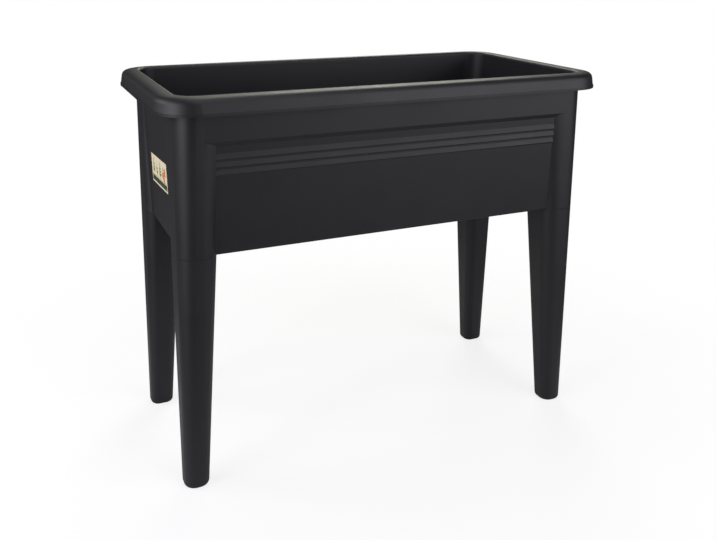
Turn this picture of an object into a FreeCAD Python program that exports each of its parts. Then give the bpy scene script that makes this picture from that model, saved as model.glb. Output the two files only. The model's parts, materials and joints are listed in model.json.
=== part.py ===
import FreeCAD, Part
import math
import os

# Grow table: a moulded planting trough on four tapered plug-in legs, with a drain plug
# under its floor. Millimetres. The origin is on the ground under the middle of the table,
# +X runs along the trough, -Y is its front and +Z is up.

Vec = FreeCAD.Vector

# Overall sizes
table_height = 650.0        # ground to the top of the rim
rim_length = 770.0          # outside of the rim's skirt, along X
rim_width = 402.0           # outside of the rim's skirt, along Y
rim_corner_radius = 59.5    # skirt's corner, seen from above

# Rolled rim
skirt_drop = 26.5           # rim top to the skirt's lower edge
skirt_flare = 4.5           # the skirt's top stands this far inside its lower edge
skirt_wall = 3.0
skirt_bead_height = 4.0     # plain bead along the skirt's lower edge
skirt_bead_proud = 0.9
rim_top_wall = 3.5
rim_crown = 2.5             # the rim's top falls by this much from its flat ring to the skirt
rim_crown_width = 12.0      # width of that fall
rim_crown_round = 40.0      # rounding where the flat ring turns down
rim_outer_round = 10.0      # rounding of the rim's outer top edge
rim_inner_round = 5.0       # rounding of the mouth's edge
rim_overhang = 26.5         # skirt's lower edge to the corner columns' faces

# Trough walls
wall = 3.5
trough_depth = 221.0        # skirt's lower edge to the trough's lower edge
end_recess = 3.5            # end walls behind the columns' end faces, at the rim
front_recess = 1.0          # front and rear walls behind the columns' faces, at the rim
front_lean = 13.5           # they lean in by this much, from the rim down to the trough's lower edge
wall_corner_radius = 24.0
wall_edge_round = 2.0       # lower edge of the walls
seam_ease = 0.25            # lower edge of the columns, at the seam with the legs
wall_edge_strips = 4        # flat strips that make up that rounding
wall_draft = 1.0            # the inside narrows by this much at each end, down to the floor
floor_rise = 18.0           # trough's lower edge to the floor's upper face
floor_wall = 3.5
mouth_corner_radius = 30.0
recess_fillet = 3.0         # hollow fillet where a column meets a wall

# Header band and the stepped moulding under it, on the long sides
header_drop = 43.0          # skirt's lower edge to the header's lower edge
header_hairline = 0.15      # header face behind the column faces
header_edge_round = 1.0
header_slope = 7.0          # height of the sloping underside of the header's lower edge
ledge_rise = 10.0           # height of the slope on the inside, behind the header's lower edge
band_height = 28.0          # first band below the header
step_pitch = 12.0           # height of the bands after it
step_count = 3
step_flare = 1.1            # each band's lower edge stands this far proud of the wall
step_root = 0.3             # and its upper edge starts this far inside the wall
step_slope = 2.4            # height of the sloping underside of each band
step_edge_round = 0.6

# Corner columns and legs, drawn for the corner at +X and +Y
foot_length = 42.0          # foot along X
foot_width = 42.5           # foot along Y
column_length = 62.0        # column along X, from the trough's lower edge up
column_width = 80.0         # column along Y, at the trough's lower edge
leg_splay = 19.5            # the foot's outer face stands this far outside the column's top, along X
leg_draw_in = 6.5           # and this far inside it, along Y
foot_outer_radius = 18.0
column_outer_radius = 30.0  # at the skirt's lower edge
foot_inner_radius = 15.0    # corner on the end face and inside
foot_front_radius = 19.0    # corner that runs down from the front panel
column_inner_radius = 20.0  # corner on the end face and inside the trough
column_front_radius = 26.5  # corner beside the front panel, at the trough's lower edge
foot_edge_round = 7.0

# Leg shell and its plug-in joint
leg_wall = 3.5
sole_thickness = 4.0
tenon_height = 92.0
tenon_shoulder = 4.0        # leg's face to the tenon's face
tenon_wall = 3.3
tenon_draft = 0.8           # the tenon narrows by this much on each side, up to its top
socket_clearance = 0.3
socket_headroom = 1.0
socket_top_wall = 3.5
catch_width = 16.0          # spring tongue on the tenon
catch_length = 44.0
catch_slot = 2.4
catch_below_top = 16.0      # tenon's top to the middle of the nib
catch_nib_height = 7.0
catch_nib_proud = 1.2
catch_clearance = 0.3

# Ribs under the floor
rib_thickness = 2.6
rib_rise = 4.0              # trough's lower edge to the ribs' lower edge
cross_rib_pitch = 118.0
cross_rib_count = 4
long_rib_offset = 62.0      # ribs on both sides of the middle

# Drain
drain_radius = 11.0
drain_boss_radius = 20.0
drain_boss_height = 6.5
drain_sump_radius = 26.0
drain_sump_depth = 1.2
plug_clearance = 0.3
plug_wall = 2.5
plug_flange_radius = 17.5
plug_flange_thickness = 4.0
plug_lead_in = 1.5
seal_thickness = 2.0
seal_margin = 0.8           # seal inside the flange's edge
grip_length = 26.0
grip_thickness = 5.0
grip_height = 13.0
grip_round = 2.2

# Label on the left end wall
label_length = 124.0
label_height = 48.0
label_thickness = 0.3
label_corner_radius = 2.5
label_above_edge = 97.0     # trough's lower edge to the middle of the label
label_tilt = 3.0            # degrees

# Heights and half sizes that follow from the sizes above
skirt_z = table_height - skirt_drop
edge_z = skirt_z - trough_depth
header_z = skirt_z - header_drop
floor_z = edge_z + floor_rise
floor_under_z = floor_z - floor_wall
column_half_x = rim_length / 2 - rim_overhang
column_half_y = rim_width / 2 - rim_overhang
end_x = column_half_x - end_recess
front_high_y = column_half_y - front_recess
front_low_y = front_high_y - front_lean
first_step_z = header_z - band_height
ledge_low_z = header_z + wall               # inside slope behind the header's lower edge
ledge_high_z = ledge_low_z + ledge_rise
socket_top_z = edge_z + tenon_height + socket_headroom
tower_top_z = socket_top_z + socket_top_wall


def between(low, high, share):
    """Straight line from low to high."""
    return low + (high - low) * share


def outer_x(z):
    """Outer end face of a column and its leg."""
    return between(column_half_x + leg_splay, column_half_x, z / skirt_z)


def outer_y(z):
    """Outer front or rear face of a column and its leg."""
    return between(column_half_y - leg_draw_in, column_half_y, z / skirt_z)


def inner_x(z):
    """Face of a leg or column that looks along the trough."""
    return outer_x(z) - between(foot_length, column_length, min(z / edge_z, 1.0))


def inner_y(z):
    """Face of a leg or column that looks across the trough."""
    column_face = outer_y(edge_z) - column_width
    return between(outer_y(0) - foot_width, column_face, min(z / edge_z, 1.0))


def front_y(z):
    """Outer face of the front or rear wall."""
    return between(front_low_y, front_high_y, (z - edge_z) / (table_height - edge_z))


def rounded_wire(x0, x1, y0, y1, radii, z):
    """Rectangle with rounded corners, from the corner at x0, y0 and anticlockwise."""
    r0, r1, r2, r3 = radii
    half = math.sqrt(0.5)
    corners = [
        (x0 + r0, y0 + r0, r0, -1, -1, Vec(x0, y0 + r0, z), Vec(x0 + r0, y0, z)),
        (x1 - r1, y0 + r1, r1, 1, -1, Vec(x1 - r1, y0, z), Vec(x1, y0 + r1, z)),
        (x1 - r2, y1 - r2, r2, 1, 1, Vec(x1, y1 - r2, z), Vec(x1 - r2, y1, z)),
        (x0 + r3, y1 - r3, r3, -1, 1, Vec(x0 + r3, y1, z), Vec(x0, y1 - r3, z)),
    ]
    edges = []
    for i, (cx, cy, r, sx, sy, start, end) in enumerate(corners):
        middle = Vec(cx + sx * r * half, cy + sy * r * half, z)
        edges.append(Part.Arc(start, middle, end).toShape())
        edges.append(Part.LineSegment(end, corners[(i + 1) % 4][5]).toShape())
    return Part.Wire(edges)


def centred_wire(half_x, half_y, radius, z):
    """Rounded rectangle about the middle of the table."""
    return rounded_wire(-half_x, half_x, -half_y, half_y, [radius] * 4, z)


def skin(wires):
    """Solid with straight walls through the given outlines."""
    return Part.makeLoft(wires, True, True)


def column_radii(z):
    """Corner radii of a column or leg at a height: outside, end face and inside, beside the front panel."""
    leg_share = min(z / edge_z, 1.0)
    outer = between(foot_outer_radius, column_outer_radius, z / skirt_z)
    inner = between(foot_inner_radius, column_inner_radius, leg_share)
    front = between(foot_front_radius, column_front_radius, leg_share)
    return outer, inner, front


def column_wire(z, inset):
    """Outline of the corner column or leg at a height, drawn in by inset."""
    outer, inner, front = [radius - inset for radius in column_radii(z)]
    return rounded_wire(inner_x(z) + inset, outer_x(z) - inset, inner_y(z) + inset,
                        outer_y(z) - inset, [inner, inner, outer, front], z)


def column_part(low, high, inset_low, inset_high):
    """Stretch of the corner column between two heights."""
    return skin([column_wire(low, inset_low), column_wire(high, inset_high)])


def at_corner(shape, sx, sy):
    """Copy of a piece of the +X +Y corner at another corner."""
    placed = shape.copy()
    if sx < 0:
        placed = placed.mirror(Vec(0, 0, 0), Vec(1, 0, 0))
    if sy < 0:
        placed = placed.mirror(Vec(0, 0, 0), Vec(0, 1, 0))
    return placed


def at_all_corners(shape):
    """The four copies of a piece of the +X +Y corner."""
    return [at_corner(shape, sx, sy) for sx in (-1, 1) for sy in (-1, 1)]


def recess_points(proud, corner, hollow):
    """Hollow fillet and round corner by which a column steps out of a wall, as five points on two arcs.

    Each point is given along the wall, from the middle of the round corner, and out of the wall."""
    reach = corner + hollow
    turn = math.acos(1 - proud / reach)
    points = [(hollow * math.sin(a) - reach * math.sin(turn), hollow * (1 - math.cos(a)))
              for a in (0, turn / 2, turn)]
    return points + [(-corner * math.sin(a), proud - corner * (1 - math.cos(a))) for a in (turn / 2, 0)]


def stretch(points):
    """Arc through three points, or a line between two."""
    if len(points) == 3:
        return Part.Arc(*points).toShape()
    return Part.LineSegment(*points).toShape()


def panel_corner(z):
    """Radius of a column's corner beside the front panel, which is as wide there at every height."""
    low = outer_y(edge_z) - front_low_y
    proud = outer_y(z) - front_y(z)
    width_squared = 2 * (column_front_radius + recess_fillet) * low - low ** 2
    return (width_squared + proud ** 2) / (2 * proud) - recess_fillet


def trough_wire(z, inset, column_inset):
    """Outline of the walls with the four columns at a height, both drawn in."""
    outer, inner, front = column_radii(z)
    face_x, face_y = outer_x(z) - column_inset, outer_y(z) - column_inset
    wall_x, wall_y = end_x - inset, front_y(z) - inset
    hollow = recess_fillet + inset
    bulge = (outer - column_inset) * (1 - math.sqrt(0.5))
    end_arcs = recess_points(face_x - wall_x, inner - column_inset, hollow)
    panel_arcs = recess_points(face_y - wall_y, panel_corner(z) - column_inset, hollow)
    path = [(wall_x + out, inner_y(z) + inner + along) for along, out in end_arcs]
    path += [(face_x, outer_y(z) - outer), (face_x - bulge, face_y - bulge), (outer_x(z) - outer, face_y)]
    path += [(inner_x(z) + front + along, wall_y + out) for along, out in reversed(panel_arcs)]
    corners = []
    for sx, sy in ((1, 1), (-1, 1), (-1, -1), (1, -1)):
        corner = [Vec(sx * x, sy * y, z) for x, y in path]
        corners.append(corner if sx == sy else corner[::-1])
    edges = []
    for i, corner in enumerate(corners):
        for first, last in ((0, 2), (2, 4), (4, 5), (5, 7), (7, 8), (8, 10), (10, 12)):
            edges.append(stretch(corner[first:last + 1]))
        edges.append(stretch([corner[-1], corners[(i + 1) % 4][0]]))
    return Part.Wire(edges)


def edges_at(shape, z):
    """Edges that lie flat at a height."""
    flat = 1e-4
    return [e for e in shape.Edges
            if abs(e.BoundBox.ZMin - z) < flat and abs(e.BoundBox.ZMax - z) < flat]


def middle_of(edge):
    """Point half way along an edge."""
    return edge.valueAt((edge.FirstParameter + edge.LastParameter) / 2)


def mouth_edges(body):
    """Inner edge of the rim's flat top."""
    return [e for e in edges_at(body, table_height)
            if abs(middle_of(e).x) < end_x and abs(middle_of(e).y) < column_half_y]


def box(x0, x1, y0, y1, z0, z1):
    """Box between two corners."""
    return Part.makeBox(x1 - x0, y1 - y0, z1 - z0, Vec(x0, y0, z0))


def rounded_profile(points, radii):
    """Closed outline in the YZ plane, with an arc at each corner that has a radius."""
    count = len(points)
    starts, ends, middles = [], [], []
    for i, (point, radius) in enumerate(zip(points, radii)):
        before = (points[i - 1] - point).normalize()
        after = (points[(i + 1) % count] - point).normalize()
        half_angle = before.getAngle(after) / 2
        bisector = (before + after).normalize()
        starts.append(point + before * (radius / math.tan(half_angle)))
        ends.append(point + after * (radius / math.tan(half_angle)))
        middles.append(point + bisector * (radius / math.sin(half_angle) - radius))
    edges = []
    for i in range(count):
        if radii[i] > 0:
            edges.append(Part.Arc(starts[i], middles[i], ends[i]).toShape())
        edges.append(Part.LineSegment(ends[i], starts[(i + 1) % count]).toShape())
    return Part.Wire(edges)


def make_walls():
    """Walls and columns as one block, with their lower edge rounded off in narrow strips."""
    wires = []
    for strip in range(wall_edge_strips + 1):
        turn = math.pi / 2 * strip / wall_edge_strips
        rise = wall_edge_round * (1 - math.cos(turn))
        share = 1 - math.sin(turn)
        wires.append(trough_wire(edge_z + rise, wall_edge_round * share, seam_ease * share))
    return skin(wires + [trough_wire(table_height - rim_top_wall / 2, 0, 0)])


def into_wall(lip, depth, slope):
    """Point inside the wall that an underside reaches, if it falls by slope while it goes in by depth."""
    inside_y = front_y(lip.z - slope) - wall / 2
    return Vec(0, inside_y, lip.z - slope * (lip.y - inside_y) / depth)


def make_header():
    """Header band on the rear wall, and the flared bands below it that overlap like clapboards."""
    top_z = table_height - rim_top_wall / 2
    header_lip = Vec(0, outer_y(header_z) - header_hairline, header_z)
    header = [
        into_wall(header_lip, header_lip.y - front_y(header_z - header_slope), header_slope),
        Vec(0, front_y(top_z) - wall / 2, top_z),
        Vec(0, outer_y(top_z) - header_hairline, top_z),
        header_lip,
    ]
    band_top_z = first_step_z + step_pitch
    bands = [
        Vec(0, front_y(band_top_z) - wall / 2, band_top_z),
        Vec(0, front_y(band_top_z) - step_root, band_top_z),
    ]
    radii = [0, 0]
    for step in range(step_count):
        step_z = first_step_z - step_pitch * step
        lip_z = step_z + step_slope / 2
        root_z = step_z - step_slope / 2
        bands.append(Vec(0, front_y(lip_z) + step_flare, lip_z))
        bands.append(Vec(0, front_y(root_z) - step_root, root_z))
        radii += [step_edge_round, 0]
    # The last underside runs on into the wall
    bands[-1] = into_wall(bands[-2], step_flare + step_root, step_slope)
    half_length = inner_x(skirt_z) + column_front_radius
    solids = []
    for wire in (rounded_profile(header, [0, 0, 0, header_edge_round]), rounded_profile(bands, radii)):
        face = Part.Face(wire)
        face.translate(Vec(-half_length, 0, 0))
        solids.append(face.extrude(Vec(2 * half_length, 0, 0)))
    return solids


def make_rim():
    """Hollow rolled rim: a flat ring that falls to a rounded edge, and a flared skirt with a bead."""
    half_x = rim_length / 2
    half_y = rim_width / 2
    bead_z = skirt_z + skirt_bead_height
    shoulder_z = table_height - rim_crown
    ring_inset = skirt_flare + rim_crown_width

    def outline(z, inset):
        return centred_wire(half_x - inset, half_y - inset, rim_corner_radius - inset, z)

    bead = skin([outline(skirt_z, 0), outline(bead_z, 0)])
    upper = skin([outline(bead_z, skirt_bead_proud), outline(shoulder_z, skirt_flare),
                  outline(table_height, ring_inset)])
    upper = upper.makeFillet(rim_crown_round, edges_at(upper, table_height))
    upper = upper.makeFillet(rim_outer_round, edges_at(upper, shoulder_z))
    hollow_z = shoulder_z - rim_top_wall
    hollow = skin([outline(skirt_z, skirt_wall), outline(hollow_z, skirt_flare + skirt_wall),
                   outline(table_height - rim_top_wall, ring_inset)])
    hollow = hollow.makeFillet(rim_outer_round - skirt_wall, edges_at(hollow, hollow_z))
    return bead.fuse(upper).cut(hollow)


def make_mouth():
    """Space inside the walls, from the floor up through the rim."""
    mouth_x = end_x - wall
    mouth_y = column_half_y - wall
    above_z = table_height + rim_top_wall
    return skin([
        centred_wire(mouth_x - wall_draft, front_y(floor_z) - wall, wall_corner_radius - wall, floor_z),
        centred_wire(mouth_x, front_y(ledge_low_z) - wall, wall_corner_radius, ledge_low_z),
        centred_wire(mouth_x, mouth_y, mouth_corner_radius, ledge_high_z),
        centred_wire(mouth_x, mouth_y, mouth_corner_radius, above_z),
    ])


def make_column_hollow():
    """Hollow of a corner column above its socket, open to the mouth and clear of the sloping end wall."""
    hollow = column_part(tower_top_z, ledge_low_z, wall, wall)
    reach_x = end_x - wall - 2 * wall_draft
    mouth = centred_wire(reach_x, column_half_y - wall, mouth_corner_radius, tower_top_z)
    return hollow.common(Part.Face(mouth).extrude(Vec(0, 0, ledge_low_z - tower_top_z)))


def catch_middle():
    """Height of the nib and its place across the leg."""
    nib_z = edge_z + tenon_height - catch_below_top
    nib_y = (inner_y(nib_z) + outer_y(nib_z)) / 2
    return nib_z, nib_y


def tenon_face_x(z):
    """Face of the tenon that carries the catch."""
    share = (z - edge_z) / tenon_height
    return inner_x(z) + tenon_shoulder + tenon_draft * share


def make_socket():
    """Space for a leg's tenon, with a blind pocket for its catch."""
    inset = tenon_shoulder - socket_clearance
    socket = column_part(edge_z, socket_top_z, inset, inset + tenon_draft)
    nib_z, nib_y = catch_middle()
    face_x = tenon_face_x(nib_z)
    half_width = catch_width / 2 + catch_clearance
    half_height = catch_nib_height / 2 + catch_clearance
    depth = catch_nib_proud + catch_clearance
    pocket = box(face_x - depth, face_x + tenon_wall, nib_y - half_width, nib_y + half_width,
                 nib_z - half_height, nib_z + half_height)
    return socket.fuse(pocket)


def make_ribs():
    """Stiffening ribs under the floor, between the walls."""
    low = edge_z + rib_rise
    high = floor_z - floor_wall / 2
    half = rib_thickness / 2
    reach_x = end_x - wall / 2
    reach_y = front_low_y - wall / 2
    ribs = []
    for y in (-long_rib_offset, long_rib_offset):
        ribs.append(box(-reach_x, reach_x, y - half, y + half, low, high))
    for i in range(cross_rib_count):
        x = (i - (cross_rib_count - 1) / 2) * cross_rib_pitch
        ribs.append(box(x - half, x + half, -reach_y, reach_y, low, high))
    return ribs


def make_trough():
    """Trough with its rim, corner columns, leg sockets, floor, ribs and drain."""
    bands = make_header()
    bands += [band.mirror(Vec(0, 0, 0), Vec(0, 1, 0)) for band in bands]
    body = make_walls().multiFuse(bands + [make_rim()])

    towers = Part.makeCompound(at_all_corners(column_part(edge_z, tower_top_z, 0, 0)))
    mouth = make_mouth().cut(towers).multiFuse(at_all_corners(make_column_hollow()))
    under = skin([centred_wire(end_x - wall, front_y(z) - wall, wall_corner_radius - wall, z)
                  for z in (edge_z, floor_under_z)])
    under = under.cut(towers)
    body = body.cut(mouth).cut(under)

    boss_z = floor_under_z - drain_boss_height
    boss = Part.makeCylinder(drain_boss_radius, floor_z - floor_wall / 2 - boss_z, Vec(0, 0, boss_z))
    body = body.multiFuse(make_ribs() + [boss])
    sump = Part.makeCylinder(drain_sump_radius, drain_sump_depth * 2, Vec(0, 0, floor_z - drain_sump_depth))
    bore = Part.makeCylinder(drain_radius, floor_rise + rib_rise, Vec(0, 0, boss_z - rib_rise))
    clear = Part.makeCylinder(drain_boss_radius + plug_clearance, boss_z - edge_z, Vec(0, 0, edge_z))
    sockets = at_all_corners(make_socket())
    body = body.cut(Part.makeCompound(sockets)).cut(sump).cut(bore).cut(clear)
    body = body.makeFillet(rim_inner_round, mouth_edges(body))
    return body.removeSplitter()


def make_leg():
    """Hollow tapered leg of the +X +Y corner, with its tenon and spring catch."""
    shell = skin([column_wire(0, 0), column_wire(edge_z, 0)])
    shell = shell.makeFillet(foot_edge_round, edges_at(shell, 0))
    top_z = edge_z + tenon_height
    tenon = column_part(edge_z, top_z, tenon_shoulder, tenon_shoulder + tenon_draft)
    core_inset = tenon_shoulder + tenon_wall
    core = skin([
        column_wire(sole_thickness, leg_wall),
        column_wire(edge_z, core_inset),
        column_wire(top_z, core_inset + tenon_draft),
    ])
    leg = shell.fuse(tenon).cut(core)

    nib_z, nib_y = catch_middle()
    face_x = tenon_face_x(nib_z)
    half_width = catch_width / 2
    slot_x0 = face_x - tenon_wall
    slot_x1 = face_x + tenon_wall * 2
    for side in (-1, 1):
        middle = nib_y + side * (half_width + catch_slot / 2)
        leg = leg.cut(box(slot_x0, slot_x1, middle - catch_slot / 2, middle + catch_slot / 2,
                          top_z - catch_length, top_z))
    low = nib_z - catch_nib_height / 2
    high = nib_z + catch_nib_height / 2
    nib = Part.Face(Part.makePolygon([
        Vec(face_x + tenon_wall / 2, nib_y - half_width, low),
        Vec(face_x - catch_nib_proud, nib_y - half_width, low),
        Vec(face_x - catch_nib_proud, nib_y - half_width, nib_z),
        Vec(face_x + tenon_wall / 2, nib_y - half_width, high),
        Vec(face_x + tenon_wall / 2, nib_y - half_width, low),
    ])).extrude(Vec(0, catch_width, 0))
    return leg.fuse(nib).removeSplitter()


def make_drain_plug():
    """Push-in plug: a hollow stem in the drain, a flange under the boss and a finger grip."""
    seat_z = floor_under_z - drain_boss_height - seal_thickness
    flange_z = seat_z - plug_flange_thickness
    stem_radius = drain_radius - plug_clearance
    stem_top = floor_z - drain_sump_depth
    stem = Part.makeCylinder(stem_radius, stem_top - flange_z, Vec(0, 0, flange_z))
    stem = stem.makeChamfer(plug_lead_in, edges_at(stem, stem_top))
    flange = Part.makeCylinder(plug_flange_radius, plug_flange_thickness, Vec(0, 0, flange_z))
    flange = flange.makeFillet(plug_wall / 2, edges_at(flange, flange_z))
    hollow = Part.makeCylinder(stem_radius - plug_wall, stem_top - seat_z, Vec(0, 0, seat_z))
    grip = box(-grip_length / 2, grip_length / 2, -grip_thickness / 2, grip_thickness / 2,
               flange_z - grip_height, flange_z + plug_flange_thickness / 2)
    grip = grip.makeFillet(grip_round, edges_at(grip, flange_z - grip_height))
    return stem.fuse(flange).fuse(grip).cut(hollow).removeSplitter()


def make_plug_seal():
    """Flat rubber washer between the plug's flange and the boss."""
    seat_z = floor_under_z - drain_boss_height - seal_thickness
    outer = Part.makeCylinder(plug_flange_radius - seal_margin, seal_thickness, Vec(0, 0, seat_z))
    inner = Part.makeCylinder(drain_radius - plug_clearance, seal_thickness, Vec(0, 0, seat_z))
    return outer.cut(inner)


def make_label():
    """Thin printed label on the left end wall."""
    half_y = label_length / 2
    half_z = label_height / 2
    flat = rounded_wire(-half_z, half_z, -half_y, half_y, [label_corner_radius] * 4, 0)
    label = Part.Face(flat).extrude(Vec(0, 0, label_thickness))
    label.rotate(Vec(0, 0, 0), Vec(0, 0, 1), label_tilt)
    label.rotate(Vec(0, 0, 0), Vec(0, 1, 0), -90)
    label.translate(Vec(-end_x, 0, edge_z + label_above_edge))
    return label


os.makedirs("parts", exist_ok=True)
leg = make_leg()
pieces = {
    "trough": make_trough(),
    "front_left_leg": at_corner(leg, -1, -1),
    "front_right_leg": at_corner(leg, 1, -1),
    "rear_left_leg": at_corner(leg, -1, 1),
    "rear_right_leg": at_corner(leg, 1, 1),
    "drain_plug": make_drain_plug(),
    "plug_seal": make_plug_seal(),
    "label": make_label(),
}
for name, shape in pieces.items():
    shape.exportStep("parts/" + name + ".step")
    print(name, "solids", len(shape.Solids), "valid", shape.isValid(), "volume", round(shape.Volume))
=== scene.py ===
# %% [markdown]
# # A black plastic grow table
# The table is a planting trough on four tapered legs, nearly all of it moulded polypropylene. The
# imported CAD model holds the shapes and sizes. This lesson dresses it: it gives each piece the finish
# that the real one gets from its mould, lays a printed film on the left end, and lights the table
# softly.

# %% Load the frame
import json
import math
import bmesh
import bpy
from mathutils import Matrix, Vector


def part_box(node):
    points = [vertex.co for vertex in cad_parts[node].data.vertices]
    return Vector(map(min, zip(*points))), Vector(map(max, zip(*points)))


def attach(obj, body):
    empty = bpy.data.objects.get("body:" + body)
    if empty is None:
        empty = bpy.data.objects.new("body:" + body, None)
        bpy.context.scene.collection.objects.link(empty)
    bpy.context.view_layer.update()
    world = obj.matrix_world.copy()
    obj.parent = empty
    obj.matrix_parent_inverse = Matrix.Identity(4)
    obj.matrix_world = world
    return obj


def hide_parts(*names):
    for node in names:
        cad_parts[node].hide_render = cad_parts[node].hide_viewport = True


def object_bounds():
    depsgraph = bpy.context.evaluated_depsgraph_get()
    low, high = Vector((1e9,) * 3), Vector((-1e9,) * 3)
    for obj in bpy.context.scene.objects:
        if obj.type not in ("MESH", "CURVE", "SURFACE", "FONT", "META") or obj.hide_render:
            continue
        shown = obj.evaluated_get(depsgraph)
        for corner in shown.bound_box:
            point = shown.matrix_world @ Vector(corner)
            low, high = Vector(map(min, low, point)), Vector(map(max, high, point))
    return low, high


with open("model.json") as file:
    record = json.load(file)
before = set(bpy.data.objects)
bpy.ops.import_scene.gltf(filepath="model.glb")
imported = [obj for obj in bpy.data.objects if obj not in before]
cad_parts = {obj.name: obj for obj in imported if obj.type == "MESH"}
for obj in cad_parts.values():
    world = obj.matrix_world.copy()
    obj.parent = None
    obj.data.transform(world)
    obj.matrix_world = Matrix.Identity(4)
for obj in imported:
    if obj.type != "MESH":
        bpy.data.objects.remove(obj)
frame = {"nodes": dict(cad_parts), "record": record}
cad_low, cad_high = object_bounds()
print("pieces", sorted(frame["nodes"]))
print("box of the table in metres", [round(v, 4) for v in cad_high - cad_low])

# %% [markdown]
# ## Three small helpers
# Colours are written the way a colour picker shows them, as sRGB hex, and the shader wants linear
# light, so one function converts them. Another adds a shader node: settings are plain arguments, and
# each input is either a number to set on the socket or another node's output to link to it. The
# third starts a material with an empty node tree, so that nothing in it is there by default.

# %% Colour and node helpers
def linear(hex_colour):
    """Linear RGBA of an sRGB hex colour."""
    shares = [int(hex_colour[i:i + 2], 16) / 255 for i in (1, 3, 5)]
    return [s / 12.92 if s <= 0.04045 else ((s + 0.055) / 1.055) ** 2.4 for s in shares] + [1.0]


def add_node(tree, kind, inputs=None, **settings):
    """New node with its settings, and each input set to a value or linked to an output."""
    node = tree.nodes.new(kind)
    for name, value in settings.items():
        setattr(node, name, value)
    for name, value in (inputs or {}).items():
        if isinstance(value, bpy.types.NodeSocket):
            tree.links.new(value, node.inputs[name])
        else:
            node.inputs[name].default_value = value
    return node


def new_material(name):
    """Empty node material and its node tree."""
    material = bpy.data.materials.new(name)
    material.use_nodes = True
    material.node_tree.nodes.clear()
    return material, material.node_tree


METRE = 1000.0  # millimetres, so that METRE / size gives a pattern's repeats per metre
print("mid grey 808080 is", round(linear("#808080")[0], 3), "in linear light")

# %% [markdown]
# ## Moulded polypropylene, black
# The trough and the legs are injection-moulded polypropylene, coloured through with carbon black.
# The mould is spark-eroded, which prints a fine grain on every face: the eye gets a near-black with
# broad soft highlights that fade out, and no sharp mirror image. Plain roughness alone looks like
# paint, so the grain is a real bump, and slow clouds in the gloss stand for the way that the melt
# flowed and cooled.

# %% Black polypropylene
GRAIN_MM = 1.3          # the real grain is about 0.25 mm; it is drawn coarser, because that can't show here
GRAIN_DEPTH_MM = 0.03
GRAIN_STRENGTH = 0.35
FLOW_MM = 90.0          # clouds in the gloss, from the flow of the melt
FLOW_RANGE = (0.3, 0.7)         # most of the clouds' noise lies between these two
GLOSS_RANGE = (0.46, 0.54)      # roughness of the glossiest clouds and of the dullest
SHEEN = 0.35            # specular level: a smooth skin has 0.5, and the grain takes some of that away
POLYPROPYLENE_IOR = 1.49


def moulded_polypropylene():
    """Carbon-black polypropylene from a spark-eroded mould."""
    material, tree = new_material("moulded_polypropylene_black")
    place = add_node(tree, "ShaderNodeTexCoord").outputs["Object"]
    flow = add_node(tree, "ShaderNodeTexNoise",
                    {"Vector": place, "Scale": METRE / FLOW_MM, "Detail": 4.0, "Roughness": 0.55})
    grain = add_node(tree, "ShaderNodeTexNoise",
                     {"Vector": place, "Scale": METRE / GRAIN_MM, "Detail": 2.0, "Roughness": 0.6})
    colour = add_node(tree, "ShaderNodeMix",
                      {"Factor": flow.outputs["Fac"], "A": linear("#0f0f11"), "B": linear("#161619")},
                      data_type="RGBA")
    gloss = add_node(tree, "ShaderNodeMapRange",
                     {"Value": flow.outputs["Fac"], "From Min": FLOW_RANGE[0], "From Max": FLOW_RANGE[1],
                      "To Min": GLOSS_RANGE[0], "To Max": GLOSS_RANGE[1]})
    bump = add_node(tree, "ShaderNodeBump",
                    {"Height": grain.outputs["Fac"], "Strength": GRAIN_STRENGTH,
                     "Distance": GRAIN_DEPTH_MM / METRE})
    shader = add_node(tree, "ShaderNodeBsdfPrincipled",
                      {"Base Color": colour.outputs["Result"], "Roughness": gloss.outputs["Result"],
                       "Normal": bump.outputs["Normal"], "IOR": POLYPROPYLENE_IOR,
                       "Specular IOR Level": SHEEN})
    add_node(tree, "ShaderNodeOutputMaterial", {"Surface": shader.outputs["BSDF"]})
    return material


polypropylene = moulded_polypropylene()
print("made", polypropylene.name)

# %% [markdown]
# ## Drain plug and its seal
# The plug under the floor is low-density polyethylene, softer and waxier than polypropylene: a little
# lighter in colour, with a smooth satin skin. The seal is a die-cut EPDM rubber washer, the dullest
# surface on the table, with the faint speckle that chalk filler leaves in rubber. Both are one kind
# of finish at two scales, a colour that wavers between two tones, so one function makes them.

# %% Polyethylene and rubber
WAX_MM = 6.0            # faint clouds in the waxy plug
FILLER_MM = 0.9         # filler specks are about 0.1 mm; drawn coarser, so that they show close up
SPECK_DEPTH_MM = 0.02
SPECK_STRENGTH = 0.2


def speckled(name, dark, light, speck_mm, roughness, ior):
    """Smooth polymer whose colour wavers between two tones."""
    material, tree = new_material(name)
    place = add_node(tree, "ShaderNodeTexCoord").outputs["Object"]
    specks = add_node(tree, "ShaderNodeTexNoise",
                      {"Vector": place, "Scale": METRE / speck_mm, "Detail": 3.0, "Roughness": 0.6})
    colour = add_node(tree, "ShaderNodeMix",
                      {"Factor": specks.outputs["Fac"], "A": linear(dark), "B": linear(light)},
                      data_type="RGBA")
    bump = add_node(tree, "ShaderNodeBump",
                    {"Height": specks.outputs["Fac"], "Strength": SPECK_STRENGTH,
                     "Distance": SPECK_DEPTH_MM / METRE})
    shader = add_node(tree, "ShaderNodeBsdfPrincipled",
                      {"Base Color": colour.outputs["Result"], "Roughness": roughness,
                       "Normal": bump.outputs["Normal"], "IOR": ior})
    add_node(tree, "ShaderNodeOutputMaterial", {"Surface": shader.outputs["BSDF"]})
    return material


polyethylene = speckled("moulded_polyethylene_grey", "#3a3b3e", "#46474a",
                        speck_mm=WAX_MM, roughness=0.42, ior=1.51)
rubber = speckled("die_cut_epdm_rubber", "#161616", "#262626",
                  speck_mm=FILLER_MM, roughness=0.8, ior=1.52)
print("made", polyethylene.name, "and", rubber.name)

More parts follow.
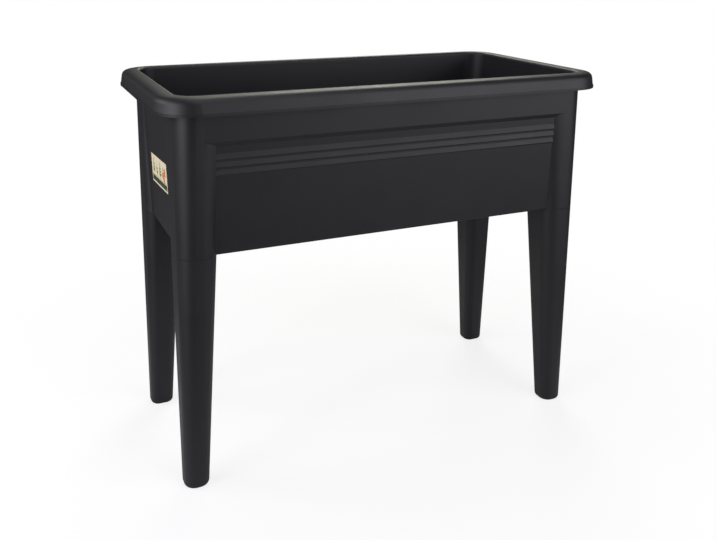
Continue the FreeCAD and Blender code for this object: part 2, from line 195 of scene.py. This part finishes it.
# %% [markdown]
# ## Give the finishes to the CAD pieces
# The CAD pieces already have the right shapes, so they stay and only change material. Each one has
# a single material slot, which is filled from the name that the record gives that slot.

# %% Dress the CAD pieces
finishes = {
    "black_polypropylene": polypropylene,
    "grey_polyethylene": polyethylene,
    "seal_rubber": rubber,
}
for part in frame["record"]["subparts"]:
    finish = finishes.get(part["material_slot"])
    if finish is None:
        continue
    piece = frame["nodes"][part["node"]]
    piece.data.materials.clear()
    piece.data.materials.append(finish)
    print(part["node"], "gets", finish.name)

# %% [markdown]
# ## Printed film on the left end
# The table carries a self-adhesive film on its left end wall. A material alone could draw a print,
# but the inks here are laid on as thin closed shapes, the way that screen printing leaves a film of
# ink: edges stay crisp at any distance. The design is a plain one: a cream ground, a green foot
# band, three leafy sprigs and a few round orange fruits.

# %% Sizes and place of the film
FILM_LENGTH = 0.124
FILM_HEIGHT = 0.048
FILM_CORNER = 0.0025
FILM_TILT = math.radians(3.0)     # it was stuck on a little askew, high at the front

label_low, label_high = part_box("label")
film_thickness = label_high.x - label_low.x
film_middle = Vector((label_high.x, (label_low.y + label_high.y) / 2, (label_low.z + label_high.z) / 2))
# Columns: along the film as it is read from outside, up the film, and out of the wall
film_frame = Matrix.Translation(film_middle) @ Matrix((
    (0, 0, -1, 0),
    (-math.cos(FILM_TILT), math.sin(FILM_TILT), 0, 0),
    (math.sin(FILM_TILT), math.cos(FILM_TILT), 0, 0),
    (0, 0, 0, 1),
))
print("film", round(film_thickness * METRE, 2), "mm thick at", [round(v, 3) for v in film_middle])

# %% [markdown]
# ## Film and inks as materials
# The film is white-pigmented polypropylene with a satin lacquer. The inks sit on it a little
# glossier, and each wavers slightly in tone, as a flat ink does on a stippled wall. The function
# that made the seal's speckle makes this waver too.

# %% Film and ink materials
WAVER_MM = 3.0          # the stipple of the wall, as it shows through the film
FILM_ROUGHNESS = 0.38
INK_ROUGHNESS = 0.32
LACQUER_IOR = 1.5


def printed_ink(name, dark, light, roughness=INK_ROUGHNESS):
    """Flat printed colour with a slight waver in tone."""
    return speckled(name, dark, light, WAVER_MM, roughness, LACQUER_IOR)


inks = [
    printed_ink("lacquered_film_cream", "#d3c6a3", "#ddd2b4", FILM_ROUGHNESS),
    printed_ink("screen_ink_dark_green", "#1d3323", "#25402c"),
    printed_ink("screen_ink_leaf_green", "#567a37", "#658a44"),
    printed_ink("screen_ink_orange", "#c0642a", "#cf7434"),
    printed_ink("screen_ink_sand", "#c3a564", "#cfb273"),
]
CREAM, DARK_GREEN, LEAF_GREEN, ORANGE, SAND = range(len(inks))
print("inks", [ink.name for ink in inks])

# %% [markdown]
# ## Outlines of the print
# Every printed form is a closed outline on the flat film. Outlines could be drawn by hand, point by
# point, but here each kind has a short formula: bars are rectangles with arcs for corners, a leaf is
# a bent sine wave and its mirror image, and a fruit is a full circle. A formula is easy to resize.

# %% Bars, leaves and fruits
CORNER_POINTS = 7
FRUIT_POINTS = 24
LEAF_STEPS = 9
LEAF_BELLY = 0.8        # less than 1, so that a leaf is widest nearer to its root than to its tip


def arc(centre, radius, start, end, count):
    """Points on an arc, from one angle in degrees to another."""
    angles = [math.radians(start + (end - start) * i / (count - 1)) for i in range(count)]
    return [(centre[0] + radius * math.cos(a), centre[1] + radius * math.sin(a)) for a in angles]


def rounded_outline(x0, x1, y0, y1, radius):
    """Rectangle with round corners."""
    corners = [(x1 - radius, y1 - radius, 0), (x0 + radius, y1 - radius, 90),
               (x0 + radius, y0 + radius, 180), (x1 - radius, y0 + radius, 270)]
    return [p for x, y, a in corners for p in arc((x, y), radius, a, a + 90, CORNER_POINTS)]


def leaf_outline(root, length, width, angle):
    """Pointed leaf that grows from its root at an angle in degrees."""
    turn = math.radians(angle)
    shares = [i / LEAF_STEPS for i in range(LEAF_STEPS + 1)]
    side = [(length * s, width / 2 * math.sin(math.pi * s ** LEAF_BELLY)) for s in shares]
    loop = side + [(x, -y) for x, y in reversed(side[1:-1])]
    return [(root[0] + x * math.cos(turn) - y * math.sin(turn),
             root[1] + x * math.sin(turn) + y * math.cos(turn)) for x, y in loop]


def disc_outline(centre, radius):
    """Round fruit."""
    return arc(centre, radius, 0, 360 - 360 / FRUIT_POINTS, FRUIT_POINTS)


print("a leaf has", len(leaf_outline((0, 0), 1, 1, 0)), "points and a fruit", len(disc_outline((0, 0), 1)))

# %% [markdown]
# ## A sprig
# A sprig is a straight stem with pairs of leaves that get shorter upwards, and one upright leaf on
# its tip. Its leaves are measured in shares of its height, so that one function draws a tall sprig
# and a small one alike.

# %% Stem and leaves of a sprig
STEM_HALF = 0.0007      # half the width of a stem
FOOT_SPACE = 0.6        # from the foot to the lowest pair, in spaces between pairs
TIP_SPACE = 0.8         # from the highest pair to the tip, in the same spaces
LOW_LEAF = 0.52         # length of the lowest leaves, in heights of the sprig
LEAF_FALL = 0.08        # and how much less of it each pair above has
LEAF_WIDTH = 0.42       # width of a side leaf, in its own lengths
LEAF_ANGLES = (32, 148)
TIP_LENGTH = 0.42       # length of the leaf on the tip, in heights of the sprig
TIP_WIDTH = 0.18        # and its width


def sprig(root, height, pairs):
    """Stem with pairs of leaves and one leaf at its tip, as ink and outline."""
    x, y = root
    top = y + height
    stem = [(x - STEM_HALF, y), (x + STEM_HALF, y), (x + STEM_HALF, top), (x - STEM_HALF, top)]
    shapes = [(DARK_GREEN, stem)]
    space = height / (FOOT_SPACE + pairs - 1 + TIP_SPACE)
    for i in range(pairs):
        at = (x, y + space * (i + FOOT_SPACE))
        length = height * (LOW_LEAF - LEAF_FALL * i)
        for angle in LEAF_ANGLES:
            shapes.append((LEAF_GREEN, leaf_outline(at, length, length * LEAF_WIDTH, angle)))
    shapes.append((LEAF_GREEN, leaf_outline((x, top), height * TIP_LENGTH, height * TIP_WIDTH, 90)))
    return shapes


print("a sprig with two pairs of leaves has", len(sprig((0, 0), 1, 2)), "shapes")

# %% [markdown]
# ## Lay out the print
# The print keeps a bare border. A green band runs along its foot with a thin sand-coloured line over
# it, the sprigs stand just over that line, and the fruits fill the right end. Places are measured
# from the middle of the film, along it and up it, in metres.

# %% Lay out the print
BORDER = 0.003              # bare film round the print
BAND_TOP = 0.012            # top of the foot band over the film's lower edge
BAND_CORNER = 0.001
LINE_GAP = 0.001            # between the band and the line over it
LINE_HEIGHT = 0.002
LINE_CORNER = 0.0005
SPRIG_FOOT = 0.004          # foot of the sprigs over the band
# Place along the film, height and pairs of leaves
SPRIGS = ((-0.043, 0.019, 3), (-0.017, 0.015, 2), (0.009, 0.019, 3))
# Place along and up the film, and radius
FRUITS = ((0.031, 0.000, 0.0062), (0.045, 0.006, 0.0070), (0.041, -0.0065, 0.0048))
LEAFY_FRUITS = 2            # the first ones have a leaf each
FRUIT_LEAF_ROOT = 0.0075    # how far up the film it starts
FRUIT_LEAF_LENGTH = 0.009
FRUIT_LEAF_WIDTH = 0.0034
FRUIT_LEAF_ANGLE = 60

half_length = FILM_LENGTH / 2
half_height = FILM_HEIGHT / 2
print_end = half_length - BORDER
band_top = -half_height + BAND_TOP
line_foot = band_top + LINE_GAP
print_shapes = [
    (DARK_GREEN, rounded_outline(-print_end, print_end, -half_height + BORDER, band_top, BAND_CORNER)),
    (SAND, rounded_outline(-print_end, print_end, line_foot, line_foot + LINE_HEIGHT, LINE_CORNER)),
]
for x, height, pairs in SPRIGS:
    print_shapes += sprig((x, band_top + SPRIG_FOOT), height, pairs)
for x, y, radius in FRUITS:
    print_shapes.append((ORANGE, disc_outline((x, y), radius)))
for fruit in FRUITS[:LEAFY_FRUITS]:
    root = (fruit[0], FRUIT_LEAF_ROOT)
    leaf = leaf_outline(root, FRUIT_LEAF_LENGTH, FRUIT_LEAF_WIDTH, FRUIT_LEAF_ANGLE)
    print_shapes.append((LEAF_GREEN, leaf))
print("printed shapes", len(print_shapes))

# %% [markdown]
# ## Make the film's mesh
# Every shape is an outline pushed out into a thin closed slab: the film itself first, then each ink
# with its foot just inside the film. One mesh holds them all, with a material for each ink.

# %% Build the film
INK = 0.00006           # a screen-printed ink is about 0.02 mm; thicker, so that it stays apart
INK_STEP = INK / 20     # each ink lies this much higher than the one before


def add_slab(mesh, outline, low, high, material_index):
    """Closed slab of an outline between two distances from the wall."""
    base = [mesh.verts.new((x, y, low)) for x, y in outline]
    top = [mesh.verts.new((x, y, high)) for x, y in outline]
    faces = [mesh.faces.new(list(reversed(base))), mesh.faces.new(top)]
    for i in range(len(outline)):
        j = (i + 1) % len(outline)
        faces.append(mesh.faces.new((base[i], base[j], top[j], top[i])))
    for face in faces:
        face.material_index = material_index


def make_film():
    """The printed film, as one piece."""
    mesh = bmesh.new()
    outline = rounded_outline(-half_length, half_length, -half_height, half_height, FILM_CORNER)
    add_slab(mesh, outline, 0.0, film_thickness, CREAM)
    for layer, (ink, shape) in enumerate(print_shapes):
        # The step keeps overlapping leaves from sharing a face
        add_slab(mesh, shape, film_thickness - INK, film_thickness + INK + layer * INK_STEP, ink)
    data = bpy.data.meshes.new("printed_film")
    mesh.to_mesh(data)
    mesh.free()
    for ink in inks:
        data.materials.append(ink)
    film = bpy.data.objects.new("printed_film", data)
    film.matrix_world = film_frame
    bpy.context.scene.collection.objects.link(film)
    return film


film = make_film()
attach(film, "table")
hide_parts("label")
print("film faces", len(film.data.polygons))

# %% [markdown]
# ## Camera
# The camera stands where the photographer's did: in front of the left end, a little above the rim.
# Its place came from fitting the table's edges, so it is written as a position, three angles and a
# focal length. The small shift stands for the way that the picture was cropped.

# %% Place the camera
CAMERA_PLACE = Vector((-0.5886, -1.3088, 0.8367))
CAMERA_YAW = math.radians(24.01)      # to the right of straight ahead
CAMERA_PITCH = math.radians(18.27)    # below the horizon
CAMERA_ROLL = math.radians(0.33)
SENSOR_MM = 36.0
LENS_MM = 40.78
CROP_SHIFT = (0.0061, -0.0628)        # sideways and up, in widths of the picture

ahead = Vector((math.sin(CAMERA_YAW) * math.cos(CAMERA_PITCH),
                math.cos(CAMERA_YAW) * math.cos(CAMERA_PITCH), -math.sin(CAMERA_PITCH)))
level = Vector((math.cos(CAMERA_YAW), -math.sin(CAMERA_YAW), 0))
above = level.cross(ahead)
right = level * math.cos(CAMERA_ROLL) + above * math.sin(CAMERA_ROLL)
up = above * math.cos(CAMERA_ROLL) - level * math.sin(CAMERA_ROLL)

camera_data = bpy.data.cameras.new("camera")
camera_data.sensor_width = SENSOR_MM
camera_data.lens = LENS_MM
camera_data.shift_x, camera_data.shift_y = CROP_SHIFT
camera = bpy.data.objects.new("camera", camera_data)
camera.matrix_world = Matrix.Translation(CAMERA_PLACE) @ Matrix((right, up, -ahead)).transposed().to_4x4()
bpy.context.scene.collection.objects.link(camera)
bpy.context.scene.camera = camera
print("camera is", round(CAMERA_PLACE.length, 3), "m from the middle of the floor")

# %% [markdown]
# ## A background that is white only to the eye
# The picture's background is white, but a white room would flood black plastic with light. So the
# floor and the room each have two looks, and the kind of ray chooses: the camera sees the white one,
# straight or through something clear, and the plastic mirrors only a small share of it. What light
# they throw on the table comes from the other look, which is dimmer.

# %% Share of the white look
GLOSS_SHARE = 0.045     # how much of the white background the plastic mirrors: the real studio was dim


def white_share(tree):
    """Output that is 1 for what the camera sees, small for gloss and 0 for light that scatters."""
    path = add_node(tree, "ShaderNodeLightPath").outputs
    seen = add_node(tree, "ShaderNodeMath", {0: path["Is Camera Ray"], 1: path["Is Transmission Ray"]},
                    operation="MAXIMUM")
    mirrored = add_node(tree, "ShaderNodeMath", {0: path["Is Glossy Ray"], 1: GLOSS_SHARE},
                        operation="MULTIPLY")
    share = add_node(tree, "ShaderNodeMath", {0: seen.outputs[0], 1: mirrored.outputs[0]},
                     operation="MAXIMUM")
    return share.outputs[0]


print("gloss shows", GLOSS_SHARE, "of the white background")

# %% [markdown]
# ## Floor
# A pale floor carries the table's soft shadow and throws a little light up under the trough. Seen by
# the camera it fades to white, so that the floor and the world behind it meet without a line: near
# the table some of its own shading shows, which is the shadow, and further off none. Its underside
# is clear, which lets the drain be looked at from below.

# %% Lay the floor
FLOOR_SIZE = 14.0
FLOOR_GAP = 0.0003      # just under the feet, so that the soles and the floor don't share a face
SHADOW_SHARE = 0.22     # how much of the floor's own shading the camera sees near the table
SHADOW_NEAR = 0.5       # metres from the middle of the table at which that share starts to fade
SHADOW_FAR = 1.1        # and at which it has gone
SHEET_NEAR = 0.45       # metres from the middle at which the pale sheet under the table starts to fade
SHEET_FAR = 0.9         # and at which the studio's grey floor has taken its place


def pale_floor():
    """Matt floor that the camera sees as white with a soft shadow."""
    material, tree = new_material("matt_painted_floor")
    place = add_node(tree, "ShaderNodeTexCoord").outputs["Object"]
    reach = add_node(tree, "ShaderNodeVectorMath", {0: place}, operation="LENGTH")
    # The look for the camera: paint with the shadow, fading to white
    fade = add_node(tree, "ShaderNodeMapRange",
                    {"Value": reach.outputs["Value"], "From Min": SHADOW_NEAR, "From Max": SHADOW_FAR,
                     "To Min": 1.0 - SHADOW_SHARE, "To Max": 1.0}, interpolation_type="SMOOTHSTEP")
    paint = add_node(tree, "ShaderNodeBsdfDiffuse", {"Color": linear("#f4f4f4")})
    white = add_node(tree, "ShaderNodeEmission", {"Color": linear("#ffffff"), "Strength": 1.0})
    shown = add_node(tree, "ShaderNodeMixShader",
                     {0: fade.outputs[0], 1: paint.outputs[0], 2: white.outputs[0]})
    # The look that lights the table: a pale sheet on a grey floor
    edge = add_node(tree, "ShaderNodeMapRange",
                    {"Value": reach.outputs["Value"], "From Min": SHEET_NEAR, "From Max": SHEET_FAR},
                    interpolation_type="SMOOTHSTEP")
    ground = add_node(tree, "ShaderNodeMix",
                      {"Factor": edge.outputs[0], "A": linear("#d4d4d4"), "B": linear("#6e6e6e")},
                      data_type="RGBA")
    lit = add_node(tree, "ShaderNodeBsdfDiffuse", {"Color": ground.outputs["Result"]})
    upper = add_node(tree, "ShaderNodeMixShader",
                     {0: white_share(tree), 1: lit.outputs[0], 2: shown.outputs[0]})
    clear = add_node(tree, "ShaderNodeBsdfTransparent")
    below = add_node(tree, "ShaderNodeNewGeometry").outputs["Backfacing"]
    both = add_node(tree, "ShaderNodeMixShader", {0: below, 1: upper.outputs[0], 2: clear.outputs[0]})
    add_node(tree, "ShaderNodeOutputMaterial", {"Surface": both.outputs[0]})
    return material


half_floor = FLOOR_SIZE / 2
floor_data = bpy.data.meshes.new("floor")
floor_data.from_pydata([(-half_floor, -half_floor, 0), (half_floor, -half_floor, 0),
                        (half_floor, half_floor, 0), (-half_floor, half_floor, 0)], [], [(0, 1, 2, 3)])
floor_data.materials.append(pale_floor())
floor = bpy.data.objects.new("floor", floor_data)
floor.location.z = cad_low.z - FLOOR_GAP
bpy.context.scene.collection.objects.link(floor)
print("floor at", round(floor.location.z * METRE, 2), "mm")

# %% [markdown]
# ## Room
# Round the table is a dim room, which reaches every face with a faint even light and keeps the
# darkest ones from going quite black. A world background makes it, with the same two looks as the
# floor, so that no wall has to be built.

# %% Make the room
ROOM_LIGHT = 0.045      # brightness of the dim room, where 1 is white


def dim_room():
    """World that lights the table faintly and that the camera sees as white."""
    world = bpy.data.worlds.new("studio")
    world.use_nodes = True
    tree = world.node_tree
    tree.nodes.clear()
    room = add_node(tree, "ShaderNodeBackground", {"Color": linear("#f2f4f8"), "Strength": ROOM_LIGHT})
    white = add_node(tree, "ShaderNodeBackground", {"Color": linear("#ffffff"), "Strength": 1.0})
    mixed = add_node(tree, "ShaderNodeMixShader",
                     {0: white_share(tree), 1: room.outputs[0], 2: white.outputs[0]})
    add_node(tree, "ShaderNodeOutputWorld", {"Surface": mixed.outputs[0]})
    return world


bpy.context.scene.world = dim_room()
print("room light", ROOM_LIGHT)

# %% [markdown]
# ## Lights
# Black plastic has little colour of its own, so what the eye reads is where the lamps stand. Ten
# soft boxes of one size stand round the table at one distance, turned to a point inside the trough,
# and differ in brightness. The three at the left are together the strongest: they draw the light
# streak down the corner column and the legs. Low ones at the front lift the long panel, a high one
# brings out the bands, and the two overhead run along the rolled edge of the rim. The two behind lie
# on the rim's flat top as its pale line; they and the rear one overhead are a little warmer. Big
# lamps give soft edges to every highlight, which tells satin plastic from gloss paint.

# %% Soft boxes
BOX_SIZE = 1.1
BOX_DISTANCE = 2.4
BOX_AIM = Vector((0, 0, 0.45))
COOL = "#f7f7ff"        # daylight boxes
WARM = "#fffdf2"        # light that comes back from a cream wall behind
# Name, degrees round from the front with the right positive, degrees up, radiance and colour
SOFT_BOXES = (
    ("left_box", -75, 14, 8.0, COOL),
    ("low_left_box", -60, 3, 3.2, COOL),
    ("rear_left_box", -110, 25, 5.4, COOL),
    ("front_box", 20, 10, 4.3, COOL),
    ("front_right_box", 45, 10, 5.0, COOL),
    ("high_front_box", 15, 40, 1.8, COOL),
    ("overhead_front_box", 0, 65, 3.0, COOL),
    ("overhead_rear_box", 180, 80, 3.0, WARM),
    ("high_rear_box", 150, 40, 6.4, WARM),
    ("low_rear_box", 165, 25, 0.8, WARM),
)


def soft_box(name, around, height, radiance, colour):
    """Square area lamp of that radiance, turned round from the front and raised, in degrees."""
    turn = math.radians(around)
    rise = math.radians(height)
    away = Vector((math.sin(turn) * math.cos(rise), -math.cos(turn) * math.cos(rise), math.sin(rise)))
    lamp = bpy.data.lights.new(name, "AREA")
    lamp.shape = "SQUARE"
    lamp.size = BOX_SIZE
    lamp.color = linear(colour)[:3]
    # A flat lamp gives pi times its radiance in watts from each square metre
    lamp.energy = radiance * math.pi * BOX_SIZE ** 2
    box = bpy.data.objects.new(name, lamp)
    box.location = BOX_AIM + away * BOX_DISTANCE
    box.rotation_euler = (-away).to_track_quat("-Z", "Y").to_euler()
    box.visible_camera = False
    bpy.context.scene.collection.objects.link(box)
    return box


for settings in SOFT_BOXES:
    box = soft_box(*settings)
    print(box.name, "at", [round(v, 2) for v in box.location], round(box.data.energy), "W")

# %% [markdown]
# ## Finish
# The view transform is Standard, so that a colour shows as it was written.

# %% View
bpy.context.scene.view_settings.view_transform = "Standard"
